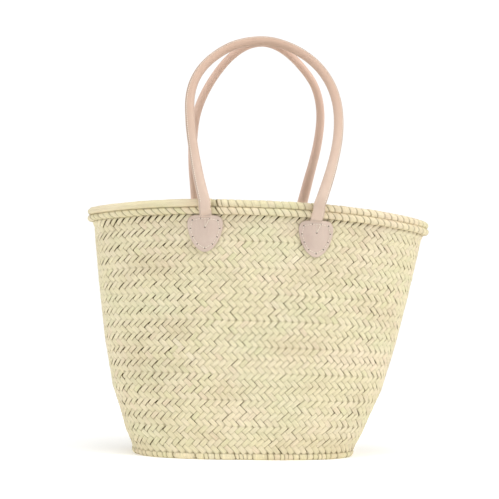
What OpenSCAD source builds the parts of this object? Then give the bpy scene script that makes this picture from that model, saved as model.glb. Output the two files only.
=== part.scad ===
// Woven palm market basket with two rolled leather handles.
// Millimetres. +Z is up, +X runs along the mouth, and -Y is the front.
// The origin is on the floor, under the middle of the mouth.

/* [Basket] */
// Half width of the wall's outer face at the mouth
mouth_half_w = 227.5; // [220:0.5:240]
// Half depth of the wall's outer face at the mouth
mouth_half_d = 86.4; // [84:0.2:90]
// Half width of the foot roll's outer edge
base_half_w = 150; // [145:1:158]
// Half depth of the foot roll's outer edge
base_half_d = 79; // [76:1:82]
// Height of the wall's top edge at the middle of the front
wall_top = 322; // [318:1:326]
// How far the mouth dips at its two ends
saddle = 15; // [0:1:20]
// How much lower the mouth's right end stands than its middle, and its left end higher
tilt = 4; // [0:0.5:5]
// How much the wall bellies out half way up, to the front and back
belly = 4; // [0:1:6]
// How far the base sits to the left of the mouth
lean = 16; // [0:1:18]
// Thickness of the plaited wall
plait_t = 4.5; // [4:0.1:5]

/* [Rolls] */
// Distance from the middle of a rim or foot roll to its flats
roll_r = 4.7; // [4.5:0.1:4.8]
// Distance from the middle of a roll to the flats of the bundle inside it
roll_core_r = 3.2; // [2.5:0.1:3.4]
// How far the middle of the rim rolls stands outside the wall's outer face
rim_out = 1.6; // [1.2:0.1:1.8]
// Side of the square cord that joins one round of plait to the next
twine_side = 1.4; // [1:0.1:1.6]

/* [Handles] */
// Outer diameter of the rolled leather cover
handle_d = 13.2; // [12:0.1:13.6]
// Thickness of the leather of the cover
cover_t = 1.8; // [1.5:0.1:2.2]
// How far the middle of the pair of handles sits to the left of the mouth's middle
handle_shift = 7; // [6:1:8]
// Height of the line that each handle swings about
pivot_z = 325; // [324.5:0.5:326]
// Distance of that line from the basket's middle
pivot_y = 98; // [98:0.5:100]
// Half the gap between the two handles' middles where they lean together
apex_gap = 7.2; // [7:0.1:8]

/* [Leather tabs] */
// Width of a tab
tab_w = 47; // [44:1:48]
// Height of a tab
tab_h = 48; // [46:1:50]
// Thickness of the tab leather
tab_t = 2.5; // [2:0.1:2.8]
// Height of the top edge of the tabs
tab_top = 317.5; // [316:0.5:317.5]
// Distance of each tab from the middle of the pair of handles
tab_x = 73; // [72:0.5:75]
// Width of the backing patch inside the wall
patch_w = 40; // [36:1:42]
// Height of the backing patch inside the wall
patch_h = 42; // [38:1:44]
// Holes in the line of stitches round a tab
tab_holes = 11; // [9:1:13]

/* [Hidden] */

FRONT = -1;
BACK = 1;
LEFT = -1;
RIGHT = 1;
COURSES = 9;
SEGMENTS = 48;          // sides of every ring round the basket
foot_top = 2 * roll_r;
foot_inset = roll_r;    // middle of the foot roll, inside the base outline
course_h = (wall_top - foot_top) / COURSES;
gap = 0.2;              // clearance between parts that are sewn, not joined
stitch_r = 0.5;
tongue_t = 2.2;         // thickness of a handle's flat end
tongue_w = 18;
tongue_h = 26;
tongue_reach = 6.4;     // how far it stands out in front of the wall at its top
tongue_rise = 2.2;      // how far it shows above the tab
tab_out = gap + tongue_t + gap;    // from the wall to the back of the tab
apex_z = 564;           // height of the handles' middle lines at the top
lean_start = 343;       // below this height a leg runs straight up past the rim
STEPS = 2;              // rings for each stretch of a handle's middle line

// Share of the way from the base half width to the mouth half width, by share of the height
FLARE = [
    [0, 0], [0.04, 0.025], [0.1, 0.15], [0.18, 0.265], [0.29, 0.44],
    [0.5, 0.64], [0.72, 0.8], [0.92, 0.93], [0.97, 0.955], [1, 1]
];

// ---- Shape of the basket ----

function share(z) = min(max(z / wall_top, 0), 1);
function half_w(z) = base_half_w + (mouth_half_w - base_half_w) * lookup(share(z), FLARE);
function half_d(z) = base_half_d + (mouth_half_d - base_half_d) * share(z) + belly * sin(180 * share(z));
function middle_x(z) = -lean * (1 - share(z));
function squareness(z) = 2.6 - 0.3 * share(z);
function dip(z) = saddle * pow(z / wall_top, 1.5);
function spread(v, n) = sign(v) * pow(abs(v), 2 / n);

// A point of the wall at height z and angle t, inset from its outer face
function wall_point(z, t, inset) =
    let (n = squareness(z))
    [
        middle_x(z) + (half_w(z) - inset) * spread(cos(t), n),
        (half_d(z) - inset) * spread(sin(t), n),
        z - dip(z) * pow(cos(t), 2) - tilt * share(z) * cos(t)
    ];

// Distance of the wall's outer face from the XZ plane
function wall_y(x, z) =
    let (n = squareness(z), u = abs(x - middle_x(z)) / half_w(z))
    half_d(z) * pow(1 - pow(u, n), 1 / n);

function wall_yaw(x, z) = atan((wall_y(x - 5, z) - wall_y(x + 5, z)) / 10);
function wall_tilt(x, z) = atan((wall_y(x, z + 10) - wall_y(x, z - 10)) / 20);

// Corners of an eight-sided roll as [inset, z], from above its inner side round
// to below it
function roll_profile(inset, z, r) = [
    for (k = [0:7])
        let (a = 157.5 - 45 * k)
        [inset - r / cos(22.5) * cos(a), z + r / cos(22.5) * sin(a)]
];

// A closed ring round the basket, with an outline of [inset, z] corners
module ring(outline) {
    points = [
        for (j = [0:SEGMENTS - 1], p = outline)
            wall_point(p[1], 360 * j / SEGMENTS, p[0])
    ];
    polyhedron(points, ring_faces(outline, len(outline)));
}

// Two triangles for each side of the outline and each step round the ring.
// Their shared diagonal depends only on the insets, so that rings that meet agree.
function ring_faces(outline, count) = [
    for (j = [0:SEGMENTS - 1], k = [0:count - 1])
        let (
            next = (k + 1) % count,
            here = j * count,
            there = (j + 1) % SEGMENTS * count,
            inward = outline[next][0] > outline[k][0]
        )
        each inward
            ? [[here + k, here + next, there + k], [here + next, there + next, there + k]]
            : [[here + k, here + next, there + next], [here + k, there + next, there + k]]
];

// ---- Sewn rolls ----

// The palm strip wound round a bundle. It is open on the inner side, where
// every turn passes through the plait.
module whipping(inset, z) {
    outside = roll_profile(inset, z, roll_r);
    inside = roll_profile(inset, z, roll_core_r + gap);
    color("khaki") ring(concat(outside, [for (k = [7:-1:0]) inside[k]]));
}

// The bundle of palm leaf inside a roll
module roll_core(inset, z) {
    color("burlywood") ring(roll_profile(inset, z, roll_core_r));
}

module base_plait() {
    outline = [
        for (j = [0:SEGMENTS - 1])
            let (p = wall_point(0, 360 * j / SEGMENTS, 2 * roll_r + gap))
            [p[0], p[1]]
    ];
    color("khaki") linear_extrude(plait_t) polygon(outline);
}

// ---- Wall ----

// A round of plait. Its top edge holds the square slot of the joining cord.
module wall_course(number) {
    low = foot_top + (number - 1) * course_h;
    high = low + course_h;
    slot_a = (plait_t - twine_side) / 2 - gap / 2;
    slot_b = plait_t - slot_a;
    slot_z = high - twine_side - gap;
    has_slot = number < COURSES;
    top = has_slot
        ? [[plait_t, high], [slot_b, high], [slot_b, slot_z], [slot_a, slot_z], [slot_a, high], [0, high]]
        : [[plait_t, high], [0, high]];
    bottom = number > 1
        ? [[0, low], [slot_a, low], [slot_b, low], [plait_t, low]]
        : [[0, low], [plait_t, low]];
    color("palegoldenrod") ring(concat(bottom, top));
}

module joining_twine() {
    a = (plait_t - twine_side) / 2;
    b = plait_t - a;
    color("darkkhaki")
        for (number = [1:COURSES - 1]) {
            high = foot_top + number * course_h - gap / 2;
            low = high - twine_side;
            ring([[a, low], [b, low], [b, high], [a, high]]);
        }
}

// ---- Leather tabs, patches and their thread ----

// Half of the shield's outline: a rounded shoulder, then a curve down to the tip
SHOULDER = 0.45;        // half width of the rounded shoulder, as a share of the half width
WAIST = 0.22;           // depth of the widest place, as a share of the height
function shield_side(w, h) = concat(
    [for (a = [90:-22.5:22.5]) [w / 2 * (1 - SHOULDER + SHOULDER * cos(a)), -h * WAIST * (1 - sin(a))]],
    [for (a = [0:15:90]) [w / 2 * pow(cos(a), 4 / 3), -h * (WAIST + (1 - WAIST) * pow(sin(a), 5 / 4))]]
);
function mirrored(half) = [for (k = [len(half) - 2:-1:0]) [-half[k][0], half[k][1]]];
function shield(w, h) = concat(shield_side(w, h), mirrored(shield_side(w, h)));

// Puts a flat piece against the outside of the wall, with its middle at x, its
// local +Z along the wall's outward normal and its local +Y up the wall.
module on_wall(x, z, side) {
    yaw = wall_yaw(x, z);
    translate([x, side * wall_y(x, z), z])
        rotate([0, 0, side == FRONT ? yaw : 180 - yaw])
            rotate([wall_tilt(x, z), 0, 0])
                rotate([90, 0, 0])
                    children();
}

function leg_x(hand) = hand * tab_x - handle_shift;
function tab_mid_z(hand) = tab_top - tab_h / 2 - tilt * leg_x(hand) / mouth_half_w;

module tab(hand, side) {
    color("mistyrose")
        on_wall(leg_x(hand), tab_mid_z(hand), side)
            translate([0, tab_h / 2, tab_out])
                linear_extrude(tab_t)
                    polygon(shield(tab_w, tab_h));
}

module patch(hand, side) {
    color("tan")
        on_wall(leg_x(hand), tab_mid_z(hand), side)
            translate([0, patch_h / 2, -plait_t - 1 - tongue_t])
                linear_extrude(tongue_t)
                    polygon(shield(patch_w, patch_h));
}

// One stitch lies on the tab between each hole and the next
module tab_thread(hand, side) {
    inset_w = tab_w - 9;
    inset_h = tab_h - 11;
    line = shield(inset_w, inset_h);
    color("white")
        on_wall(leg_x(hand), tab_mid_z(hand), side)
            translate([0, tab_h / 2 - 4.5, tab_out + tab_t + stitch_r + 0.05])
                for (k = [0:tab_holes - 1])
                    lying_stitch(along(line, k / tab_holes), along(line, (k + 0.8) / tab_holes));
}

// A straight stitch from one point of the plane to another
module lying_stitch(from, to) {
    run = to - from;
    translate([from[0], from[1], 0])
        rotate([0, 90, atan2(run[1], run[0])])
            cylinder(r = stitch_r, h = norm(run), $fn = 16);
}

// Point at a share of the way round a closed outline
function along(line, s) =
    let (total = path_length(line, len(line)))
    walk(line, 0, s * total);
function path_length(line, count) =
    count == 0 ? 0 : path_length(line, count - 1) + norm(line[count % len(line)] - line[count - 1]);
function walk(line, k, left) =
    let (a = line[k % len(line)], b = line[(k + 1) % len(line)], step = norm(b - a))
    left <= step ? a + (b - a) * left / step : walk(line, k + 1, left - step);

// The flat end of a handle's cover: it runs behind the tab and turns up round
// the handle's rounded end, which swings in its hollow.
module tongue(hand, side) {
    x = leg_x(hand);
    rise = tab_h / 2;
    color("mistyrose")
        difference() {
            on_wall(x, tab_mid_z(hand), side)
                rotate([0, 90, 0])
                    linear_extrude(tongue_w, center = true)
                        polygon([
                            [-gap, rise - tongue_h],
                            [-gap - tongue_t, rise - tongue_h],
                            [-gap - tongue_t, rise + gap],
                            [-tongue_reach, rise + gap],
                            [-tongue_reach, rise + tongue_rise],
                            [-gap, rise + tongue_rise]
                        ]);
            translate([x, side * pivot_y, pivot_z])
                rotate([0, 90, 0])
                    cylinder(r = handle_d / 2 + 0.4, h = 2 * tongue_w, center = true, $fn = 64);
        }
}

// ---- Handles ----

// Middle line of each handle as [x from the pair's middle, z], from the left
// leg over the top to the right leg. The front handle is the wider one.
FRONT_LINE = [
    [-75.5, 336], [-83, 367], [-90, 407], [-94.5, 446], [-94, 483], [-83.5, 513], [-62, 538],
    [-31, 557], [8.5, 564], [44.5, 555], [74.5, 535], [94.5, 507], [104, 473], [103, 432], [92.5, 387],
    [75, 336]
];
BACK_LINE = [
    [-73.5, 336], [-77, 367], [-81.5, 400], [-83, 434], [-79, 470], [-65.5, 504], [-43, 537],
    [-18, 557.5], [8.5, 564], [35, 556], [62, 535.5], [84.5, 508], [95, 473], [94, 430], [84.5, 379],
    [76, 336]
];

// A leg leans towards the other handle along a gentle curve
function lean_y(z) =
    pivot_y - (pivot_y - apex_gap) * pow(max(0, (z - lean_start) / (apex_z - lean_start)), 1.1);

// A point on the smooth curve through the line's points
function smooth(p, k, u) =
    let (a = p[max(k - 1, 0)], b = p[k], c = p[k + 1], d = p[min(k + 2, len(p) - 1)])
    0.5 * (2 * b + (c - a) * u + (2 * a - 5 * b + 4 * c - d) * u * u + (3 * b - a - 3 * c + d) * u * u * u);

function handle_path(line, side) = [
    for (k = [0:len(line) - 2], i = [0:STEPS - 1])
        let (p = smooth(line, k, i / STEPS))
        [p[0] - handle_shift, side * lean_y(p[1]), p[1]],
    let (p = line[len(line) - 1])
        [p[0] - handle_shift, side * lean_y(p[1]), p[1]]
];

function unit(v) = v / norm(v);
function heading(path, k) =
    k == 0 ? [0, 0, 1]
    : k == len(path) - 1 ? [0, 0, -1]
    : unit(path[k + 1] - path[k - 1]);

// Corners of a round section across the path at point k
function section(path, k, r, sides) =
    let (t = heading(path, k), u = unit(cross([0, 1, 0], t)), v = cross(t, u))
    [for (i = [0:sides - 1]) path[k] + r * (cos(360 * i / sides) * u + sin(360 * i / sides) * v)];

function side_faces(first, rings, sides, stride, turn) = [
    for (k = [0:rings - 2], i = [0:sides - 1])
        let (
            a = first + k * stride + i,
            b = first + k * stride + (i + 1) % sides,
            c = b + stride,
            d = a + stride
        )
        each turn ? [[a, b, c], [a, c, d]] : [[a, c, b], [a, d, c]]
];

// A solid rope along a path
module rope(path, r, sides) {
    rings = len(path);
    points = [for (k = [0:rings - 1]) each section(path, k, r, sides)];
    last = (rings - 1) * sides;
    polyhedron(points, concat(
        side_faces(0, rings, sides, sides, false),
        [[for (i = [0:sides - 1]) i]],
        [[for (i = [sides - 1:-1:0]) last + i]]
    ));
}

// A tube along a path, open at both ends
module tube(path, r_out, r_in, sides) {
    rings = len(path);
    stride = 2 * sides;
    points = [
        for (k = [0:rings - 1])
            each concat(section(path, k, r_out, sides), section(path, k, r_in, sides))
    ];
    last = (rings - 1) * stride;
    ends = [
        for (i = [0:sides - 1])
            let (j = (i + 1) % sides)
            each [
                [i, j, sides + j], [i, sides + j, sides + i],
                [last + i, last + sides + j, last + j], [last + i, last + sides + i, last + sides + j]
            ]
    ];
    polyhedron(points, concat(
        side_faces(0, rings, sides, stride, false),
        side_faces(sides, rings, sides, stride, true),
        ends
    ));
}

SIDES = 12;
// The cover is rolled leather. Each leg ends in a knuckle that turns on the pivot line.
module handle_cover(line, side) {
    path = handle_path(line, side);
    r = handle_d / 2;
    color("mistyrose") {
        tube(path, r, r - cover_t, SIDES);
        for (end = [path[0], path[len(path) - 1]]) {
            knuckle = [end[0], side * pivot_y, pivot_z];
            translate(knuckle) cylinder(r = r, h = end[2] - pivot_z, $fn = 48);
            translate(knuckle) rotate([0, 90, 0]) cylinder(r = r, h = 1.7 * r, center = true, $fn = 48);
        }
    }
}

module handle_core(line, side) {
    path = handle_path(line, side);
    color("burlywood") rope(path, handle_d / 2 - cover_t - 2 * gap, 8);
}

// Stitches along the outside of the bend, where the edges of the cover meet
module handle_seam(line, side) {
    path = handle_path(line, side);
    color("white")
        for (k = [1:len(path) - 2]) {
            t = heading(path, k);
            out = -unit(cross([0, 1, 0], t));
            at = path[k] + out * (handle_d / 2 + stitch_r + 0.1);
            translate(at)
                rotate([0, acos(t[2]), atan2(t[1], t[0])])
                    cylinder(r = stitch_r, h = 4, center = true, $fn = 16);
        }
}

// ---- Nodes ----

rim_low_z = wall_top + roll_r;
rim_high_z = wall_top + 3 * roll_r;

base_plait();
roll_core(foot_inset, roll_r);  // foot_core
whipping(foot_inset, roll_r);  // foot_whipping
wall_course(1);  // wall_course_1
wall_course(2);  // wall_course_2
wall_course(3);  // wall_course_3
wall_course(4);  // wall_course_4
wall_course(5);  // wall_course_5
wall_course(6);  // wall_course_6
wall_course(7);  // wall_course_7
wall_course(8);  // wall_course_8
wall_course(9);  // wall_course_9
joining_twine();
roll_core(-rim_out, rim_low_z);  // rim_lower_core
whipping(-rim_out, rim_low_z);  // rim_lower_whipping
roll_core(-rim_out, rim_high_z);  // rim_upper_core
whipping(-rim_out, rim_high_z);  // rim_upper_whipping
tab(LEFT, FRONT);  // tab_front_left
tab(RIGHT, FRONT);  // tab_front_right
tab(LEFT, BACK);  // tab_back_left
tab(RIGHT, BACK);  // tab_back_right
patch(LEFT, FRONT);  // patch_front_left
patch(RIGHT, FRONT);  // patch_front_right
patch(LEFT, BACK);  // patch_back_left
patch(RIGHT, BACK);  // patch_back_right
tab_thread(LEFT, FRONT);  // tab_thread_front_left
tab_thread(RIGHT, FRONT);  // tab_thread_front_right
tab_thread(LEFT, BACK);  // tab_thread_back_left
tab_thread(RIGHT, BACK);  // tab_thread_back_right
tongue(LEFT, FRONT);  // tongue_front_left
tongue(RIGHT, FRONT);  // tongue_front_right
tongue(LEFT, BACK);  // tongue_back_left
tongue(RIGHT, BACK);  // tongue_back_right
handle_cover(FRONT_LINE, FRONT);  // front_handle_cover
handle_core(FRONT_LINE, FRONT);  // front_handle_core
handle_seam(FRONT_LINE, FRONT);  // front_handle_seam
handle_cover(BACK_LINE, BACK);  // back_handle_cover
handle_core(BACK_LINE, BACK);  // back_handle_core
handle_seam(BACK_LINE, BACK);  // back_handle_seam
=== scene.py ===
"""Looks for the woven palm market basket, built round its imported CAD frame.

Sizes are in millimetres, as in the CAD source, until a mesh is made. +Z is up, +X runs along
the mouth, and -Y is the front.
"""
import math

import bmesh
import bpy
import numpy as np
from mathutils import Matrix, Vector


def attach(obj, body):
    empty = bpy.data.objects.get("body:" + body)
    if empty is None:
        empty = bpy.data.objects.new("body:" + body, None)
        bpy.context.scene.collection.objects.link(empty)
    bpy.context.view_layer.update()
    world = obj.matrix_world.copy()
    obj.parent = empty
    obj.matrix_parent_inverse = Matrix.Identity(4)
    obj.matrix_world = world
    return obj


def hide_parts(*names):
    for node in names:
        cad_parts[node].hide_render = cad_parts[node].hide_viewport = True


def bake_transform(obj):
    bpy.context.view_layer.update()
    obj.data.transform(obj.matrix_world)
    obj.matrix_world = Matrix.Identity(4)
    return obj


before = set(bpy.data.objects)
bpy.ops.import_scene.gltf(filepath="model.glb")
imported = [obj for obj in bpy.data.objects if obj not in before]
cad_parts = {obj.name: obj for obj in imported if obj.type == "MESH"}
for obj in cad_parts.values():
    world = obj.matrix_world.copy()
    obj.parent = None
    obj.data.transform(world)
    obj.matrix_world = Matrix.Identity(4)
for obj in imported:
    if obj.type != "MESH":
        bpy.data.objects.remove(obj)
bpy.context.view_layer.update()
MM = 0.001


def add_object(name, data):
    """A new object in the scene."""
    made = bpy.data.objects.new(name, data)
    bpy.context.scene.collection.objects.link(made)
    return made


# ---- Camera ----

CAMERA_AT = Vector((-209.1, -1989.0, 240.0)) * MM
CAMERA_AIM = Vector((-12.8, 0.0, 278.2)) * MM
CAMERA_LENS = 105.3
CAMERA_ROLL = math.radians(1.3)


def make_camera():
    data = bpy.data.cameras.new("camera")
    data.lens = CAMERA_LENS
    camera = add_object("camera", data)
    aim = (CAMERA_AIM - CAMERA_AT).to_track_quat("-Z", "Y").to_matrix().to_4x4()
    camera.matrix_world = Matrix.Translation(CAMERA_AT) @ aim @ Matrix.Rotation(CAMERA_ROLL, 4, "Z")
    data.clip_start = 0.05
    data.clip_end = 50
    bpy.context.scene.camera = camera


make_camera()

# ---- Sizes of the CAD basket ----

MOUTH_HALF_W, MOUTH_HALF_D = 227.5, 86.4
BASE_HALF_W, BASE_HALF_D = 150, 79
WALL_TOP, SADDLE, TILT, BELLY, LEAN = 322, 15, 4, 4, 16
PLAIT_T = 4.5
ROLL_R = 4.7
RIM_OUT = 1.6
FOOT_TOP = 2 * ROLL_R
FLARE = np.array([
    [0, 0], [0.04, 0.025], [0.1, 0.15], [0.18, 0.265], [0.29, 0.44],
    [0.5, 0.64], [0.72, 0.8], [0.92, 0.93], [0.97, 0.955], [1, 1],
])
HANDLE_R = 6.6
HANDLE_SHIFT = 7
PIVOT_Z, PIVOT_Y = 325, 98
APEX_GAP, APEX_Z, LEAN_START = 7.2, 564, 343
TAB_W, TAB_H, TAB_T, TAB_TOP, TAB_X = 47, 48, 2.5, 317.5, 73
PATCH_W, PATCH_H = 40, 42
TAB_HOLES = 11
FRONT, BACK, LEFT, RIGHT = -1, 1, -1, 1
COURSES = 9
FRONT_LINE = np.array([
    [-75.5, 336], [-83, 367], [-90, 407], [-94.5, 446], [-94, 483], [-83.5, 513], [-62, 538],
    [-31, 557], [8.5, 564], [44.5, 555], [74.5, 535], [94.5, 507], [104, 473], [103, 432], [92.5, 387],
    [75, 336],
], float)
BACK_LINE = np.array([
    [-73.5, 336], [-77, 367], [-81.5, 400], [-83, 434], [-79, 470], [-65.5, 504], [-43, 537],
    [-18, 557.5], [8.5, 564], [35, 556], [62, 535.5], [84.5, 508], [95, 473], [94, 430], [84.5, 379],
    [76, 336],
], float)

# ---- Shape of the wall ----


def share(z):
    return np.clip(z / WALL_TOP, 0, 1)


def half_w(z):
    return BASE_HALF_W + (MOUTH_HALF_W - BASE_HALF_W) * np.interp(share(z), FLARE[:, 0], FLARE[:, 1])


def half_d(z):
    return BASE_HALF_D + (MOUTH_HALF_D - BASE_HALF_D) * share(z) + BELLY * np.sin(np.pi * share(z))


def middle_x(z):
    return -LEAN * (1 - share(z))


def squareness(z):
    return 2.6 - 0.3 * share(z)


def dip(z):
    return SADDLE * np.maximum(z / WALL_TOP, 0) ** 1.5


def spread(v, n):
    return np.sign(v) * np.abs(v) ** (2 / n)


def stacked(*values):
    """Arrays joined along a new last axis, such as x, y and z into points."""
    return np.stack(np.broadcast_arrays(*values), -1)


def run_along(path):
    """Distance from the path's start to each of its points."""
    return np.concatenate([[0], np.cumsum(np.linalg.norm(np.diff(path, axis=0), axis=1))])


def along_at(at, run, values):
    """Rows of values at places along the path that run is measured on."""
    return np.stack([np.interp(at, run, column) for column in values.T], -1)


def unit(vectors):
    return vectors / np.linalg.norm(vectors, axis=1, keepdims=True)


def once_round(count, whole=2 * np.pi):
    """Evenly spaced places once round, without the last, which is the first again."""
    return np.linspace(0, whole, count, endpoint=False)


def fade(value, start, end):
    """0 at start and before it, 1 at end and after it, and a straight line between."""
    return np.clip((value - start) / (end - start), 0, 1)


def wall_at_angle(z, t, inset):
    """Points of the wall at nominal height z and angle t, inset from its outer face."""
    n = squareness(z)
    c, s = np.cos(t), np.sin(t)
    return stacked(
        middle_x(z) + (half_w(z) - inset) * spread(c, n),
        (half_d(z) - inset) * spread(s, n),
        z - dip(z) * c ** 2 - TILT * share(z) * c,
    )


def wall_y(x, z):
    """Distance of the wall's outer face from the middle plane."""
    n = squareness(z)
    u = np.abs(x - middle_x(z)) / half_w(z)
    return half_d(z) * (1 - np.minimum(u, 0.999) ** n) ** (1 / n)


LEVELS = np.linspace(0, WALL_TOP, 41)
LAPS = 480


def angle_table():
    """For each level, the angle of LAPS + 1 places that are equally far apart round the wall."""
    rows = []
    fine = np.linspace(0, 2 * np.pi, 4801)
    for z in LEVELS:
        run = run_along(wall_at_angle(z, fine, 0))
        rows.append(np.interp(np.linspace(0, run[-1], LAPS + 1), run, fine))
    return np.array(rows)


ANGLES = angle_table()


def perimeter(z):
    return run_along(wall_at_angle(z, np.linspace(0, 2 * np.pi, 2401), 0))[-1]


def wall_at(z, lap, inset):
    """Points of the wall at nominal height z and lap, the share of the way round."""
    z, lap, inset = np.broadcast_arrays(z, lap, inset)
    turns = np.floor(lap)
    place = (lap - turns) * LAPS
    j = np.minimum(place.astype(int), LAPS - 1)
    u = place - j
    level = np.clip(z / WALL_TOP, 0, 1) * (len(LEVELS) - 1)
    i = np.minimum(level.astype(int), len(LEVELS) - 2)
    v = level - i
    t = (
        (ANGLES[i, j] * (1 - u) + ANGLES[i, j + 1] * u) * (1 - v)
        + (ANGLES[i + 1, j] * (1 - u) + ANGLES[i + 1, j + 1] * u) * v
    )
    return wall_at_angle(z, t, inset)


# ---- Meshes ----


def new_object(name, points, quads, ends=(), attributes=None):
    """A smooth mesh object from points in mm, an array of quads and a list of end polygons.

    An attribute has one number or one vector for each point.
    """
    points = np.asarray(points, float).reshape(-1, 3) * MM
    quads = np.asarray(quads, int).reshape(-1, 4)
    loops = [quads.ravel()] + [np.asarray(e, int) for e in ends]
    sizes = np.array([4] * len(quads) + [len(e) for e in ends])
    starts = np.concatenate([[0], np.cumsum(sizes)[:-1]])
    mesh = bpy.data.meshes.new(name)
    mesh.vertices.add(len(points))
    mesh.vertices.foreach_set("co", points.astype(np.float32).ravel())
    flat = np.concatenate(loops)
    mesh.loops.add(len(flat))
    mesh.loops.foreach_set("vertex_index", flat.astype(np.int32))
    mesh.polygons.add(len(sizes))
    mesh.polygons.foreach_set("loop_start", starts.astype(np.int32))
    mesh.polygons.foreach_set("use_smooth", np.ones(len(sizes), bool))
    mesh.update(calc_edges=True)
    mesh.validate()
    for key, values in (attributes or {}).items():
        values = np.asarray(values, np.float32).reshape(len(points), -1)
        kind, field = ("FLOAT_VECTOR", "vector") if values.shape[1] == 3 else ("FLOAT", "value")
        mesh.attributes.new(key, kind, "POINT").data.foreach_set(field, values.ravel())
    return add_object(name, mesh)


def tube_faces(count, rings, sides, closed=False, flip=False):
    """Quads of count separate tubes of rings by sides points, and their end polygons."""
    base = (np.arange(count) * rings * sides)[:, None, None]
    last = rings if closed else rings - 1
    r = np.arange(last)[None, :, None]
    k = np.arange(sides)[None, None, :]
    a = base + r * sides + k
    b = base + r * sides + (k + 1) % sides
    c = base + (r + 1) % rings * sides + (k + 1) % sides
    d = base + (r + 1) % rings * sides + k
    order = (a, d, c, b) if flip else (a, b, c, d)
    quads = np.stack(order, -1).reshape(-1, 4)
    if closed:
        return quads, []
    ends = []
    for n in range(count):
        first = n * rings * sides + np.arange(sides)
        final = n * rings * sides + (rings - 1) * sides + np.arange(sides)
        ends += [first, final[::-1]] if flip else [first[::-1], final]
    return quads, ends


def join_parts(parts):
    """Joins (points, quads, ends, attributes) tuples into one."""
    points, quads, ends = [], [], []
    attributes = {}
    start = 0
    for p, q, e, a in parts:
        p = np.asarray(p).reshape(-1, 3)
        points.append(p)
        quads.append(np.asarray(q).reshape(-1, 4) + start)
        ends += [np.asarray(x) + start for x in e]
        for key, values in a.items():
            attributes.setdefault(key, []).append(np.asarray(values, float).reshape(len(p), -1))
        start += len(p)
    attributes = {k: np.concatenate(v) for k, v in attributes.items()}
    return np.concatenate(points), np.concatenate(quads), ends, attributes


# ---- Materials ----


class Nodes:
    """A material's node tree, with short calls for the nodes that this script uses."""

    def __init__(self, name):
        self.material = bpy.data.materials.new(name)
        self.material.use_nodes = True
        self.tree = self.material.node_tree
        self.tree.nodes.clear()
        self.out = self.tree.nodes.new("ShaderNodeOutputMaterial")
        self.shader = self.tree.nodes.new("ShaderNodeBsdfPrincipled")
        self.link(self.shader.outputs[0], self.out.inputs["Surface"])

    def link(self, a, b):
        self.tree.links.new(a, b)

    def put(self, socket, value):
        if isinstance(value, bpy.types.NodeSocket):
            self.link(value, socket)
        elif socket.type == "RGBA" and len(value) == 3:
            socket.default_value = (*value, 1)
        else:
            socket.default_value = value

    def make(self, kind, inputs):
        """A node of that kind, with values or sockets put on its inputs."""
        node = self.tree.nodes.new(kind)
        for key, value in inputs.items():
            self.put(node.inputs[key], value)
        return node

    def attribute(self, name, output="Fac"):
        node = self.tree.nodes.new("ShaderNodeAttribute")
        node.attribute_name = name
        return node.outputs[output]

    def place(self):
        return self.tree.nodes.new("ShaderNodeTexCoord").outputs["Object"]

    def stretch(self, vector, scale):
        return self.make("ShaderNodeMapping", {"Vector": vector, "Scale": scale}).outputs[0]

    def noise(self, vector, scale, detail=3.0, roughness=0.55, output="Fac"):
        inputs = {"Vector": vector, "Scale": scale, "Detail": detail, "Roughness": roughness}
        return self.make("ShaderNodeTexNoise", inputs).outputs[output]

    def cells(self, vector, scale):
        node = self.make("ShaderNodeTexVoronoi", {"Vector": vector, "Scale": scale})
        return node.outputs["Distance"]

    def math(self, operation, a, b=0.0):
        node = self.make("ShaderNodeMath", {0: a, 1: b})
        node.operation = operation
        return node.outputs[0]

    def span(self, value, low, high, to_low=0.0, to_high=1.0):
        return self.make("ShaderNodeMapRange", {
            "Value": value, "From Min": low, "From Max": high, "To Min": to_low, "To Max": to_high,
        }).outputs[0]

    def mix(self, factor, a, b, blend="MIX"):
        node = self.tree.nodes.new("ShaderNodeMix")
        node.data_type = "RGBA"
        node.blend_type = blend
        self.put(node.inputs["Factor"], factor)
        self.put(node.inputs[6], a)
        self.put(node.inputs[7], b)
        return node.outputs[2]

    def ramp(self, value, stops, smooth=True):
        node = self.tree.nodes.new("ShaderNodeValToRGB")
        node.color_ramp.interpolation = "EASE" if smooth else "CONSTANT"
        while len(node.color_ramp.elements) < len(stops):
            node.color_ramp.elements.new(0.5)
        for element, (at, colour) in zip(node.color_ramp.elements, stops):
            element.position = at
            element.color = (*colour, 1)
        self.put(node.inputs[0], value)
        return node.outputs[0]

    def bump(self, height, strength, distance):
        inputs = {"Strength": strength, "Distance": distance, "Height": height}
        return self.make("ShaderNodeBump", inputs).outputs[0]

    def set(self, **values):
        names = {
            "colour": "Base Color", "roughness": "Roughness", "normal": "Normal",
            "sheen": "Sheen Weight", "sheen_roughness": "Sheen Roughness", "gloss": "Specular IOR Level",
        }
        for key, value in values.items():
            self.put(self.shader.inputs[names[key]], value)


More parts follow.
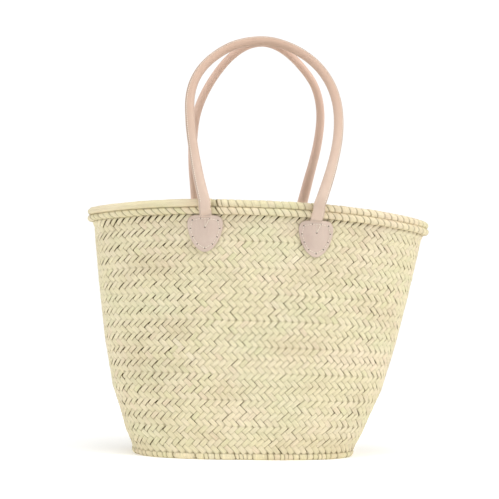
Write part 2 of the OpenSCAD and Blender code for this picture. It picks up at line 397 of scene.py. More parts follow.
def palm_material(name, tint=(1, 1, 1), shade_dark=0.33):
    """Dried palm leaf: fibres along each strip, and strips of cream, green, tan and pinkish tones, with
    painted shade from the shade attribute.
    """
    n = Nodes(name)
    lay = n.attribute("lay", "Vector")
    fibres = n.noise(n.stretch(lay, (0.05, 2.6, 1.0)), 1.0, 4.0, 0.6)
    veins = n.noise(n.stretch(lay, (0.012, 1.1, 1.0)), 1.0, 2.0, 0.5)
    tone = n.ramp(n.attribute("tone"), [
        (0.0, (0.68, 0.64, 0.40)), (0.25, (0.72, 0.65, 0.43)), (0.5, (0.74, 0.665, 0.45)),
        (0.75, (0.755, 0.67, 0.475)), (0.9, (0.73, 0.62, 0.44)), (1.0, (0.79, 0.72, 0.53)),
    ])
    patches = n.noise(n.stretch(n.place(), (1.0, 1.0, 1.7)), 13.0, 2.0, 0.5)
    tone = n.mix(n.span(patches, 0.48, 0.72, 0.0, 0.62), tone, (0.64, 0.54, 0.36))
    clouds = n.noise(n.stretch(n.place(), (1.0, 1.0, 2.2)), 9.0, 2.0, 0.5, "Color")
    split = n.make("ShaderNodeSeparateColor", {0: clouds})
    tone = n.mix(n.span(split.outputs[1], 0.5, 0.72, 0.0, 0.5), tone, (0.67, 0.67, 0.44))
    tone = n.mix(n.span(split.outputs[2], 0.52, 0.72, 0.0, 0.5), tone, (0.82, 0.69, 0.53))
    streaks = n.span(fibres, 0.3, 0.7, 0.84, 1.07)
    bands = n.span(veins, 0.3, 0.7, 0.92, 1.05)
    tone = n.mix(1.0, tone, n.math("MULTIPLY", streaks, bands), "MULTIPLY")
    freckles = n.span(n.cells(n.stretch(lay, (0.22, 0.7, 1.0)), 1.0), 0.03, 0.09, 0.72, 1.0)
    tone = n.mix(1.0, tone, freckles, "MULTIPLY")
    tone = n.mix(1.0, tone, tint, "MULTIPLY")
    # painted shade: as the shade attribute falls from 1 to 0, the colour goes over to a dark olive-brown,
    # for grooves, slits and tucked strips
    shade = n.attribute("shade")
    tone = n.mix(shade, (shade_dark * 0.50, shade_dark * 0.38, shade_dark * 0.16), tone)
    height = n.math("ADD", n.math("MULTIPLY", fibres, 0.7), n.math("MULTIPLY", veins, 0.6))
    n.set(colour=tone, roughness=n.span(fibres, 0.3, 0.7, 0.5, 0.72), gloss=0.35,
          normal=n.bump(height, 0.55, 0.0007))
    return n.material


def cord_material():
    n = Nodes("palm_cord")
    lay = n.attribute("lay", "Vector")
    fibres = n.noise(n.stretch(lay, (0.1, 3.0, 1.0)), 1.0, 3.0)
    colour = n.ramp(fibres, [
        (0.25, (0.30, 0.22, 0.11)), (0.6, (0.50, 0.40, 0.22)), (0.8, (0.62, 0.52, 0.32)),
    ])
    n.set(colour=colour, roughness=0.8, normal=n.bump(fibres, 0.6, 0.0006))
    return n.material


# A near-black material: painted shade behind the plait's slits.
def shade_sheet_material():
    n = Nodes("plait_shade_sheet")
    fibres = n.noise(n.place(), 900.0, 3.0)
    colour = n.ramp(fibres, [(0.3, (0.050, 0.036, 0.014)), (0.7, (0.115, 0.085, 0.035))])
    n.set(colour=colour, roughness=0.9, gloss=0.1, normal=n.bump(fibres, 0.4, 0.0004))
    return n.material


TANNED = (0.50, 0.33, 0.24)


def leather_material(name, pale, deep, blush, tanned=0.0):
    """Natural leather: pores, faint creases, handling marks and slightly darker worn patches.

    tanned is how far its colour goes over to TANNED at the top of a handle, where hands hold it.
    """
    n = Nodes(name)
    place = n.place()
    cloud = n.noise(place, 26.0, 3.0, 0.55)
    marks = n.noise(n.stretch(place, (1.0, 1.0, 0.55)), 75.0, 4.0, 0.62)
    pores = n.cells(place, 1450.0)
    grain = n.noise(place, 2300.0, 3.0, 0.6)
    creases = n.noise(place, 420.0, 5.0, 0.65)
    colour = n.ramp(cloud, [(0.3, deep), (0.52, blush), (0.72, pale)])
    colour = n.mix(n.span(marks, 0.42, 0.7, 0.0, 0.35), colour, pale)
    colour = n.mix(n.span(n.noise(place, 140.0, 3.0), 0.55, 0.8, 0.0, 0.30), colour, deep)
    colour = n.mix(n.span(grain, 0.3, 0.7, 0.10, 0.0), colour, tuple(0.75 * c for c in deep))
    if tanned:
        split = n.make("ShaderNodeSeparateXYZ", {0: place})
        level = n.math("ADD", split.outputs[2], n.math("MULTIPLY", cloud, 0.12))
        colour = n.mix(n.span(level, 0.38, 0.56, 0.0, tanned), colour, TANNED)
    # the colour goes over to a dark brown where the shade attribute falls below 1: painted shade in the
    # seam groove, at the fold line and under the pads, and darker rolled pad edges
    shade = n.attribute("shade")
    colour = n.mix(shade, tuple(0.36 * c for c in deep), colour)
    height = n.math("ADD", n.math("MULTIPLY", pores, 0.8), n.math("MULTIPLY", creases, 0.9))
    height = n.math("ADD", height, n.math("MULTIPLY", grain, 0.4))
    n.set(colour=colour, roughness=n.span(creases, 0.3, 0.7, 0.42, 0.60), gloss=0.4,
          sheen=0.08, sheen_roughness=0.5, normal=n.bump(height, 0.45, 0.00035))
    return n.material


def thread_material():
    n = Nodes("thread")
    place = n.place()
    plies = n.noise(place, 2600.0, 2.0)
    colour = n.ramp(plies, [(0.3, (0.66, 0.58, 0.47)), (0.7, (0.86, 0.81, 0.72))])
    n.set(colour=colour, roughness=0.7, sheen=0.2, sheen_roughness=0.4, normal=n.bump(plies, 0.5, 0.0003))
    return n.material


# Near black with a little brown: painted shade inside the stitch holes.
def hole_shade_material():
    n = Nodes("stitch_hole_shade")
    edge = n.noise(n.place(), 1500.0, 2.0)
    colour = n.ramp(edge, [(0.3, (0.035, 0.020, 0.014)), (0.7, (0.10, 0.06, 0.045))])
    n.set(colour=colour, roughness=0.9, gloss=0.1, normal=n.bump(edge, 0.3, 0.0003))
    return n.material


PALM = palm_material("palm_plait")
WRAP = palm_material("palm_whipping", (1.02, 1.01, 0.98))
CORD = cord_material()
SHADE_SHEET = shade_sheet_material()
LEATHER_FRONT = leather_material(
    "leather", (0.66, 0.53, 0.44), (0.58, 0.44, 0.35), (0.63, 0.49, 0.40), tanned=0.75)
# painted light: the same leather as the front handle, made paler and pinker to match how the back handle
# looks in shade; the inner patches use it too
LEATHER_BACK_SHADE_MATCHED = leather_material(
    "leather_back_shade_matched", (0.82, 0.61, 0.50), (0.73, 0.51, 0.41), (0.78, 0.56, 0.455), tanned=0.5)
LEATHER_TAB = leather_material(
    "leather_tab", (0.62, 0.505, 0.43), (0.52, 0.40, 0.34), (0.58, 0.46, 0.385))
THREAD = thread_material()
HOLE_SHADE = hole_shade_material()


def make_piece(name, geometry, material, nodes=(), body="basket"):
    """A visible piece from (points, quads, ends, attributes), with its body and replaced nodes."""
    piece = new_object(name, *geometry)
    piece.data.materials.append(material)
    if body:
        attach(piece, body)
    if nodes:
        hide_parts(*nodes)
    return piece


# ---- Plait ----

ROWS_A_COURSE = 4
COURSE_H = (WALL_TOP - FOOT_TOP) / COURSES
ROW_H = COURSE_H / ROWS_A_COURSE
CELL = 9.3                  # distance from one strip to the next along a row
STRIP_HALF = 3.5            # half width of a strip
STRIP_T = 1.05              # half thickness of a strip in its middle
WAVE = 1.1                  # how far a strip rises and dips as it passes over and under
# a strip's section: places across it in half widths, and heights in half thicknesses
SECTION_W = np.array([-1.0, -0.88, -0.5, 0.5, 0.88, 1.0, 0.72, -0.72])
SECTION_T = np.array([0.0, 0.66, 0.98, 0.98, 0.66, 0.0, -0.85, -0.85])
ROW_STEPS = np.array([0.0, 0.07, 0.2, 0.5, 0.8, 0.93])     # rings of a strip in each row
RIM_PINCH = 0.32            # share of its width that a strip loses where the rim is lashed on
LASHED = 90, 135            # x between which the lashing's pull dies out at the front
LASHED_ROWS = 0.45, 0.10    # rows below a round's top between which its strips narrow
TUCK = 0.34                 # how far a strip runs on under the next round, in rows


def strip_offsets(up):
    """How far the rising family of strips stands out, at heights in rows."""
    s = np.sin(np.pi * up)
    return WAVE * np.sign(s) * np.abs(s) ** 0.38


ENDS_FROM, ENDS_FULL = 85, 165   # distances from the middle between which the ends' slits grow
OPENED, CLOSED = 0.165, 0.05     # share of its width that a strip loses or gains there


def ends_opening(z, lap, slant):
    """Share of its width that a strip loses near the basket's two ends.

    Towards the left end the rising strips part and the falling ones close up, and the other way
    round towards the right end, so that every second row there shows a line of slits.
    """
    places = wall_at(z, lap, 0)
    x, y = places[..., 0], places[..., 1]
    end = fade(np.abs(x), ENDS_FROM, ENDS_FULL) * np.sign(x) * np.sign(-y)
    end = np.where(x > 0, 0.6 * end, end)
    return np.where(end * slant < 0, OPENED, CLOSED) * -end * slant


def lashing(points):
    """How much the rim's lashing pulls the top row of strips apart.

    It does so more beside the front's right leg, and not at all towards the front's right end.
    """
    x, y = points[..., 0], points[..., 1]
    by_leg = 0.5 * np.exp(-((x - leg_x(RIGHT)) / 17) ** 2)
    return np.where(y < 0, 1 - fade(x, *LASHED) + by_leg, 1.0)


def strip_family(rng, count, z_low, slant, pinched):
    """All strips of one slant in one round. slant is +1 where a strip rises to the right.

    pinched narrows the strips towards the round's top, where the rim is lashed on.
    """
    rows = ROWS_A_COURSE
    steps = np.concatenate([r + ROW_STEPS for r in range(rows)] + [[rows]])
    over_first = slant < 0                      # the falling strips lie on top in even rows
    over_last = (rows % 2 == 1) == over_first
    head = -TUCK if over_first else -0.05
    tail = rows + (TUCK if over_last else 0.05)
    steps = np.concatenate([[head], steps[1:-1], [tail]])
    n, r, k = count, len(steps), len(SECTION_W)
    up = steps[None, :, None]
    length = math.hypot(CELL, ROW_H)
    width = STRIP_HALF * rng.uniform(0.90, 1.01, (n, 1, 1))
    wander = rng.normal(0, 0.035, (n, 1, 1)) + 0.03 * np.sin(up * 1.7 + rng.uniform(0, 6.3, (n, 1, 1)))
    start = np.arange(n)[:, None, None] + (0.5 if slant > 0 else 0.0) + wander
    opening = ends_opening(z_low, start / count, slant)
    width = width * (1 - opening)
    lashed = pinched * lashing(wall_at(z_low, start / count, 0))
    width = width * (1 - lashed * fade(rows - up, *LASHED_ROWS))
    w = width * SECTION_W
    cell = start + slant * up + w * (ROW_H / length) / CELL
    z = z_low + up * ROW_H - slant * w * (CELL / length)
    lift = strip_offsets(up) * (1 if slant < 0 else -1)
    lift = lift * rng.uniform(0.9, 1.12, (n, 1, 1)) + rng.normal(0, 0.07, (n, 1, 1))
    lean = rng.normal(0, 0.16, (n, 1, 1)) * SECTION_W
    inset = PLAIT_T / 2 - lift - STRIP_T * SECTION_T - lean
    points = wall_at(z, cell / count, inset)
    tone = np.broadcast_to(rng.beta(2.2, 2.2, (n, 1, 1)), (n, r, k))
    lay = stacked(up * length + rng.uniform(0, 900, (n, 1, 1)), w, rng.uniform(0, 90, (n, 1, 1)))
    # painted shade: a strip is darkened where it runs under the crossing strips, on the face that is
    # hidden, and along its edges, less where strips close up near the ends
    facing = np.where(SECTION_T < 0, -1, 1)
    tucked_shade = fade(lift * facing, -0.75, 0.35)
    edge_shade = 0.3 + 0.5 * fade(-opening, 0, CLOSED)
    shade = tucked_shade * np.where(np.abs(SECTION_W) > 0.95, edge_shade, 1.0)
    quads, ends = tube_faces(n, r, k, flip=True)
    shade = np.broadcast_to(shade, (n, r, k))
    return points, quads, ends, {"tone": tone, "lay": lay, "shade": shade}


def weave_course(number):
    rng = np.random.default_rng(100 + number)
    z_low = FOOT_TOP + (number - 1) * COURSE_H
    count = round(perimeter(z_low + COURSE_H / 2) / CELL)
    pinched = RIM_PINCH if number == COURSES else 0
    parts = [strip_family(rng, count, z_low, slant, pinched) for slant in (-1, 1)]
    make_piece(f"weave_course_{number}", join_parts(parts), PALM, [f"wall_course_{number}"])


def weave_shade_sheet():
    """A near-black sheet in the middle of the plait: painted shade, seen only through its slits."""
    z = np.linspace(FOOT_TOP - 1, WALL_TOP, 24)
    laps = 200
    section_z = np.concatenate([z, z[::-1]])
    section_inset = PLAIT_T / 2 + np.repeat([-0.2, 0.2], len(z))
    points = wall_at(section_z, once_round(laps, 1)[:, None], section_inset)
    quads, ends = tube_faces(1, laps, len(section_z), closed=True)
    make_piece("weave_shade_sheet", (points, quads, ends), SHADE_SHEET)


CORD_TWISTS = 220           # twists of the joining cord in one round


def joining_cord():
    """The cord sewn through each pair of rounds: two plies that twist."""
    parts = []
    turns = once_round(8)
    laps = 900
    u = once_round(laps, 1)[:, None]
    twist = u * 2 * np.pi * CORD_TWISTS
    r = 0.62 + 0.14 * np.cos(2 * (turns - twist))
    for number in range(1, COURSES):
        z = FOOT_TOP + number * COURSE_H
        points = wall_at(z + r * np.sin(turns), u, PLAIT_T / 2 + r * np.cos(turns))
        quads, ends = tube_faces(1, laps, len(turns), closed=True)
        parts.append((points, quads, ends, {"lay": stacked(u * 900, turns * 0.6, 3.0 * number)}))
    make_piece("joining_cord", join_parts(parts), CORD, ["joining_twine"])


# ---- Rolls ----

# a turn's section: places across it, how proud it stands there, and how much painted shade darkens it, most
# in the groove at its start
WRAP_STEPS = np.array([0.0, 0.05, 0.16, 0.42, 0.72, 0.93])
WRAP_RISE = np.array([-0.75, -0.10, 0.22, 0.34, 0.26, -0.02])
WRAP_SHADE = np.array([0.05, 0.75, 1, 1, 1, 0.8])
ROLL_SIDES = 20
STRAND_END = -69            # x of the right end of the rim's long strand
SLIT_X = -64.5              # x of the dark slit beside it
STRAND_START_Y = -6         # it starts just in front of the rim's left end
STRAND_R = 5.5
# the rim's middle stretch at the front, where turns are pulled flat: x where it begins and is full
MIDDLE_LEFT, MIDDLE_RIGHT = (-46.5, -26.5), (52, 26)


def in_strand(points):
    """1 along the front left of the rim, where one long strand hides the turns; 0 elsewhere."""
    x, y = points[..., 0], points[..., 1]
    return fade(x, STRAND_END, STRAND_END - 3) * fade(y, STRAND_START_Y, STRAND_START_Y - 12)


def slit_lap(z):
    """The lap of the slit beside the long strand's end."""
    laps = once_round(4000, 1)
    places = wall_at(z, laps, 0)
    off = np.abs(places[:, 0] - SLIT_X) + 1000 * (places[:, 1] > 0)
    return laps[np.argmin(off)]


def in_middle(points):
    """1 along the front of the rim between the handle's legs, and 0 elsewhere."""
    x, y = points[..., 0], points[..., 1]
    return fade(x, *MIDDLE_LEFT) * fade(x, *MIDDLE_RIGHT) * (y < 0)


def uneven_steps(rng, count):
    """Places of the turns of a roll in which long flat turns stand between short ones."""
    widths = rng.choice([0.6, 0.8, 1.0, 1.3, 2.4, 3.6], count, p=[0.2, 0.25, 0.25, 0.17, 0.09, 0.04])
    places = np.cumsum(widths)
    places = places[places < count]
    return np.concatenate([[0], places[:-1]])


def wrapped_roll(name, node, z, inset, radius, cell, seed, slant,
                 jitter=None, floor=None, strand=None, calm=0.0):
    """A bundle wound with palm strip, each turn a little proud of the next.

    strand is (lean, sinking) of the turns where the long strand of the rim runs past them,
    and calm how flat the turns are in the middle of the front, with less painted shade in their grooves.
    """
    rng = np.random.default_rng(seed)
    total = round(perimeter(min(z, WALL_TOP)) / cell)
    if jitter is None:
        starts = uneven_steps(rng, total)
    else:
        starts = np.arange(total) + rng.uniform(-jitter, jitter, total)
    if strand is not None:
        slit = np.argmin(np.abs(starts - slit_lap(z) * total))
        starts[slit] = slit_lap(z) * total
    count = len(starts)
    widths = np.diff(np.append(starts, starts[0] + total))[:, None, None]
    starts = starts[:, None, None]
    a = once_round(ROLL_SIDES)
    f = WRAP_STEPS[:, None]
    along = starts + widths * f
    lean = slant + rng.normal(0, 0.05, (count, 1, 1))
    sinking = 0
    if strand is not None:
        hidden = in_strand(wall_at(z, starts / total, 0))
        lean = lean + (strand[0] - lean) * hidden
        sinking = strand[1] * in_strand(wall_at(z, along / total, 0))
    lean_next = np.roll(lean, -1, axis=0)
    shift = np.sin(a) * (lean * (1 - f) + lean_next * f)
    u = (along + shift) / total
    flat = calm * in_middle(wall_at(z, starts / total, 0))
    rise = WRAP_RISE[:, None] * (1 - 0.6 * flat)
    proud = rng.normal(0, 0.14, (count, 1, 1))
    r = radius + rise + proud - sinking
    # a = 0 points outwards, a = 90 degrees up
    points = wall_at(z + r * np.sin(a), u, inset - r * np.cos(a))
    if floor is not None:
        points[..., 2] = np.maximum(points[..., 2], floor)
    quads, ends = tube_faces(1, count * len(WRAP_STEPS), ROLL_SIDES, closed=True)
    shape = (count, len(WRAP_STEPS), ROLL_SIDES)
    tone = np.broadcast_to(rng.beta(2.0, 2.0, (count, 1, 1)), shape).copy()
    run_on = rng.uniform(0, 900, (count, 1, 1))
    lay = stacked(a * radius + run_on, (f - 0.5) * cell, rng.uniform(0, 90, (count, 1, 1)))
    # painted shade in the groove between turns, lighter where the turns are pulled flat
    groove_shade = WRAP_SHADE[:, None]
    shade = np.broadcast_to(groove_shade + (0.9 - groove_shade) * 0.75 * flat, shape).copy()
    # painted shade along the top of the foot roll, where it meets the wall
    if floor is not None:
        shade *= 1 - 0.8 * fade(np.sin(a), 0.55, 0.85)
    # painted shade: a dark slit at the long strand's end, and painted shade over the olive turn before it
    if strand is not None:
        shade[slit, :3] = 0.05
        shade[slit - 1, 1:] = 0.75
        tone[slit - 1] = 0.0
    attributes = {"tone": tone, "lay": lay, "shade": shade}
    make_piece(name, (points, quads, ends, attributes), WRAP, [node])


def rim_strand():
    """The long smooth strand that is laid over the front left of the upper rim roll."""
    fine = once_round(4000, 1)
    covered = fine[in_strand(wall_at(WALL_TOP, fine, 0)) > 0.5]
    laps = np.linspace(covered[0], covered[-1], 260)[:, None]
    sides = 16
    a = once_round(sides)
    f = np.linspace(0, 1, 260)[:, None]
    close = np.minimum(1, np.minimum(f / 0.03, (1 - f) / 0.008)) ** 0.5
    swell = 1 + 0.035 * np.sin(f * 41 + 1) * np.sin(f * 17)
    tall = (STRAND_R * swell) * close
    deep = (STRAND_R * swell + 0.3) * close
    points = wall_at(WALL_TOP + 3 * ROLL_R + 0.4 + tall * np.sin(a), laps, -RIM_OUT - deep * np.cos(a))
    quads, ends = tube_faces(1, 260, sides)
    lay = stacked(f * 260, a * STRAND_R, 5.0)
    tone = np.broadcast_to(0.62 + 0.22 * np.sin(f * 9), (260, sides))
    # painted shade towards the strand's ends, where it tucks into the roll
    shade = np.broadcast_to(np.clip(close, 0.35, 1), (260, sides))
    attributes = {"tone": tone, "lay": lay, "shade": shade}
    make_piece("rim_long_strand", (points, quads, ends, attributes), WRAP)


def roll_bundle(name, node, z, inset, radius):
    """The bundle of leaf ribs inside a roll."""
    laps, sides = 700, 12
    u = once_round(laps, 1)[:, None]
    a = once_round(sides)
    r = radius * (0.94 + 0.06 * np.cos(6 * (a - 40 * 2 * np.pi * u)))
    points = wall_at(z + r * np.sin(a), u, inset - r * np.cos(a))
    quads, ends = tube_faces(1, laps, sides, closed=True)
    lay = stacked(u * 900, a * radius, 1.0)
    make_piece(name, (points, quads, ends, {"lay": lay}), CORD, [node])


# ---- Base ----


def base_weave():
    """The flat oval of the base, plaited in the same strips."""
    rng = np.random.default_rng(5)
    rim = wall_at_angle(0.0, np.linspace(0, 2 * np.pi, 721), FOOT_TOP + 0.2)[:, :2]
    pitch = CELL / math.sqrt(2)
    parts = []
    for family, angle in enumerate((math.pi / 4, -math.pi / 4)):
        d = np.array([math.cos(angle), math.sin(angle)])
        across = np.array([-d[1], d[0]])
        middle = rim.mean(0)
        reach = ((rim - middle) @ across).max()
        for i in range(-int(reach / pitch), int(reach / pitch) + 1):
            offset = i * pitch
            side = (rim - middle) @ across - offset
            cut = np.nonzero(side[:-1] * side[1:] < 0)[0]
            if len(cut) < 2:
                continue
            ends_at = np.sort(((rim - middle) @ d)[cut])
            first, last = ends_at[0] + 0.6, ends_at[-1] - 0.6
            steps = np.arange(math.ceil(first / pitch * 2), math.floor(last / pitch * 2) + 1) * pitch / 2
            if len(steps) < 3:
                continue
            steps = np.concatenate([[first], steps[1:-1], [last]])
            crossing = steps / pitch
            phase = (crossing + (i if family else -i)) * np.pi / 2 + np.pi / 4
            s = np.sin(phase)
            lift = 0.75 * np.sign(s) * np.abs(s) ** 0.6 * (1 if family else -1)
            w = STRIP_HALF * 0.97 * SECTION_W
            flat = middle + steps[:, None, None] * d + (offset + w[..., None]) * across
            height = PLAIT_T / 2 + lift[:, None] + 0.7 * SECTION_T
            points = np.concatenate([flat, height[..., None]], -1)
            k = len(SECTION_W)
            quads, ends = tube_faces(1, len(steps), k)
            lay = stacked(steps[:, None] + rng.uniform(0, 900), w, rng.uniform(0, 90))
            tone = np.full(len(steps) * k, rng.beta(2.2, 2.2))
            # painted shade along the strips' edges
            shade = np.tile(np.where(np.abs(SECTION_W) > 0.95, 0.5, 1.0), len(steps))
            parts.append((points, quads, ends, {"tone": tone, "lay": lay, "shade": shade}))
    make_piece("base_weave", join_parts(parts), PALM, ["base_plait"])


def base_shade_sheet():
    """A near-black sheet in the middle of the base's plait, out to the wall: painted shade, seen through
    its slits.
    """
    a = once_round(160)
    levels = []
    for height in (-0.25, 0.25):
        rim = wall_at_angle(0.0, a, 0.5)
        rim[:, 2] = PLAIT_T / 2 + height
        levels.append(rim)
    quads, ends = tube_faces(1, 2, len(a))
    make_piece("base_shade_sheet", (np.concatenate(levels), quads, ends), SHADE_SHEET)


# ---- Handles ----


def smooth_line(line, steps):
    """Points on the Catmull-Rom curve through the line's points, as the CAD source has it."""
    out = []
    for k in range(len(line) - 1):
        a, b, c = line[max(k - 1, 0)], line[k], line[k + 1]
        d = line[min(k + 2, len(line) - 1)]
        for u in np.arange(steps) / steps:
            out.append(0.5 * (2 * b + (c - a) * u + (2 * a - 5 * b + 4 * c - d) * u ** 2
                              + (3 * b - a - 3 * c + d) * u ** 3))
    return np.array(out + [line[-1]])


def lean_y(z):
    return PIVOT_Y - (PIVOT_Y - APEX_GAP) * np.maximum(0, (z - LEAN_START) / (APEX_Z - LEAN_START)) ** 1.1


LEFT_TAB_UP = 1.2                 # the left tabs are sewn on a little higher than the right ones


def leg_x(hand):
    return hand * TAB_X - HANDLE_SHIFT


def tab_mid_z(hand):
    higher = np.where(hand < 0, LEFT_TAB_UP, 0)
    return TAB_TOP - TAB_H / 2 - TILT * leg_x(hand) / MOUTH_HALF_W + higher


def evenly(path, step):
    """The path again, with points step apart."""
    run = run_along(path)
    return along_at(np.linspace(0, run[-1], int(run[-1] / step) + 1), run, path)


def softened(path, rounds):
    for _ in range(rounds):
        path[1:-1] = 0.25 * path[:-2] + 0.5 * path[1:-1] + 0.25 * path[2:]
    return path


def leg_foot(hand, side, x_top):
    """The end of a leg, from high under the tab down to its flat tip, as points [x, y, z]."""
    x = leg_x(hand)
    mid = tab_mid_z(hand)
    top = mid + TAB_H / 2
    rows = [
        (x_top, PIVOT_Y, 336),
        (x_top, PIVOT_Y - 0.2, 330),
        (x_top * 0.6 + x * 0.4, PIVOT_Y - 2.2, PIVOT_Z),
    ]
    for z, out in ((top + 2.5, 6.2), (top - 1.5, 2.7), (top - 6, 1.9), (top - 14, 1.7), (top - 25, 1.6)):
        rows.append((x, wall_y(x, z) + out, z))
    return np.array([(px, side * py, pz) for px, py, pz in rows], float)


def handle_body(line, side):
    """The handle's middle line above its knuckles, in space."""
    x, z = smooth_line(line, 10).T
    return stacked(x - HANDLE_SHIFT, side * lean_y(z), z)


def handle_path(line, side):
    """The middle line of a handle's leather, from the end under one tab to the other."""
    body = handle_body(line, side)
    left = leg_foot(LEFT, side, body[0, 0])[::-1]
    right = leg_foot(RIGHT, side, body[-1, 0])
    whole = np.concatenate([left[:-1], body, right[1:]])
    return softened(evenly(whole, 1.6), 6)


def path_frame(path, side):
    """At each point of a handle: the way out of the loop, and the way out of the handle's face."""
    along = unit(np.gradient(path, axis=0))
    face = np.zeros_like(path)
    face[:, 1] = side
    face = unit(face - (face * along).sum(1, keepdims=True) * along)
    out = np.cross(along, face)
    if out[len(path) // 2, 2] < 0:
        out = -out
    return out, face


SEAM_TURN = math.radians(38)      # the seam sits on the outside of the loop, turned towards the face
FLAT_FROM, FLAT_TO = 346, 314     # heights between which the rolled leather turns flat
FLAT_HALF_W, FLAT_HALF_T = 8.2, 2.2
THIN_FROM, THIN_TO = 318, 310     # and its flat end gets thinner under the tab
SLIM_FROM, SLIM_TO = 380, 510     # a handle gets slimmer towards its top
WIDE_FROM, WIDE_TO = 400, 340     # and its legs a little wider towards the tabs
FOLD_UP = 1.6                     # height above its tab of a painted shade line across a leg, where it is folded flat
SEAM_FROM = 338                   # the stitches begin at this height
SEAM_PITCH = 2.9                  # from one stitch to the next
SEAM_STITCH = 1.9                 # length of a stitch
SEAM_ASIDE = math.radians(13)     # from the seam to its line of stitches
SEAM_PROUD = 0.55                 # how far the stitches stand off the cover's nominal radius


def cover_section():
    """Angles from the seam, and how proud the leather stands there."""
    lips = np.radians([0, 5, 10, 16, 24])
    rise = np.array([-0.35, 0.42, 0.62, 0.40, 0.10])
    rest = np.radians(np.linspace(38, 180, 9))
    angles = np.concatenate([lips, rest, 2 * np.pi - rest[-2::-1], 2 * np.pi - lips[:0:-1]])
    proud = np.concatenate([rise, 0 * rest, 0 * rest[1:], rise[:0:-1]])
    return angles, proud


def handle_cover(name, line, side, nodes, material, slimmer):
    """The rolled leather, slimmer by that much round the top of the loop and wider down the legs."""
    path = handle_path(line, side)
    out, face = path_frame(path, side)
    angles, proud = cover_section()
    z = path[:, 2:3]
    flat = fade(z, FLAT_FROM, FLAT_TO) ** 1.2
    thin = fade(z, THIN_FROM, THIN_TO)
    slim = HANDLE_R - slimmer * fade(z, SLIM_FROM, SLIM_TO)
    spread_leg = fade(z, WIDE_FROM, WIDE_TO) * (1 - flat)
    wide = slim + spread_leg + (FLAT_HALF_W - HANDLE_R) * flat + 0.8 * thin
    thick = slim - 0.3 * spread_leg + (FLAT_HALF_T - HANDLE_R) * flat - 0.9 * thin
    bend = angles + SEAM_TURN
    ridge = proud * (1 - flat)
    c, s = np.cos(bend), np.sin(bend)
    a = wide * spread(c, 2 + flat) + ridge * c
    b = thick * spread(s, 2 + flat) + ridge * s
    points = path[:, None] + a[..., None] * out[:, None] + b[..., None] * face[:, None]
    rings, sides = len(path), len(angles)
    quads, ends = tube_faces(1, rings, sides, flip=side > 0)
    # painted shade in the groove along the seam and a little on its lips, and a painted shade line across
    # each leg at its fold
    shade = np.ones((rings, sides))
    shade[:, 0] = 0.45
    shade[:, [1, -1]] = 0.85
    fold_shade_z = tab_mid_z(np.sign(path[:, :1] + HANDLE_SHIFT)) + TAB_H / 2 + FOLD_UP
    shade *= 1 - 0.45 * np.exp(-(z - fold_shade_z) ** 2)
    piece = make_piece(name, (points, quads, ends, {"shade": shade}), material, nodes, body=None)
    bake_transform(piece)
    return path, out, face, wide[:, 0], thick[:, 0]


def capsules(starts, tips, radius, outward, bow):
    """Short stitches of thread from starts to tips, bowed outward in their middle."""
    f = np.array([0.0, 0.04, 0.2, 0.5, 0.8, 0.96, 1.0])
    r = radius * np.array([0.15, 0.62, 0.95, 1.0, 0.95, 0.62, 0.15])
    line = starts[:, None] + (tips - starts)[:, None] * f[None, :, None]
    line = line + outward[:, None] * (bow * np.sin(np.pi * f))[None, :, None]
    d = unit(tips - starts)
    ref = np.where(np.abs(d[:, 2:3]) < 0.8, [[0, 0, 1.0]], [[1.0, 0, 0]])
    u = unit(np.cross(d, ref))
    v = np.cross(d, u)
    a = once_round(8)
    ring = np.cos(a)[None, :, None] * u[:, None] + np.sin(a)[None, :, None] * v[:, None]
    points = line[:, :, None] + r[None, :, None, None] * ring[:, None]
    return points, *tube_faces(len(starts), len(f), len(a))


def handle_seam(name, cover, body, node):
    """The stitches beside the seam of a handle's cover."""
    path, out, face, wide, thick = cover
    run = run_along(path)
    sewn = run[path[:, 2] > SEAM_FROM]
    at = np.arange(sewn[0], sewn[-1] - SEAM_PITCH, SEAM_PITCH)
    c, w = math.cos(SEAM_TURN + SEAM_ASIDE), math.sin(SEAM_TURN + SEAM_ASIDE)
    line = path + ((wide + SEAM_PROUD) * c)[:, None] * out + ((thick + SEAM_PROUD) * w)[:, None] * face
    starts, tips = along_at(at, run, line), along_at(at + SEAM_STITCH, run, line)
    normal = unit(starts - along_at(at, run, path))
    make_piece(name, capsules(starts, tips, 0.42, normal, 0.15), THREAD, [node], body)


ROPE_R, ROPE_STEP, ROPE_LAY = 3.5, 2.2, 30      # radius, path step, and length of one turn of a strand


def handle_rope(name, line, side, body, node):
    """The three-strand rope inside a handle."""
    path = softened(evenly(handle_body(line, side), ROPE_STEP), 6)
    out, face = path_frame(path, side)
    a = once_round(15)
    s = np.arange(len(path))[:, None] * ROPE_STEP
    r = ROPE_R + 0.4 * np.cos(3 * (a - s * 2 * np.pi / ROPE_LAY))
    points = (path[:, None] + (r * np.cos(a))[..., None] * out[:, None]
              + (r * np.sin(a))[..., None] * face[:, None])
    quads, ends = tube_faces(1, len(path), 15, flip=side > 0)
    make_piece(name, (points, quads, ends, {"lay": stacked(s, a * 4, 1.0)}), CORD, [node], body)


# ---- Tabs and patches ----

SHOULDER, WAIST = 0.45, 0.22     # how round the tab's upper corners are, and how far down they go
HOLE_INSET = 4.6                 # from the tab's top edge to its row of holes
MIDDLE_HOLE = 16.0               # from the tab's top edge to its middle hole
TAB_BITS = 3                     # visible bits of thread from one hole to the next
ON_FACE = 0.22                   # how far a tab's face stands over its edge where it is sewn


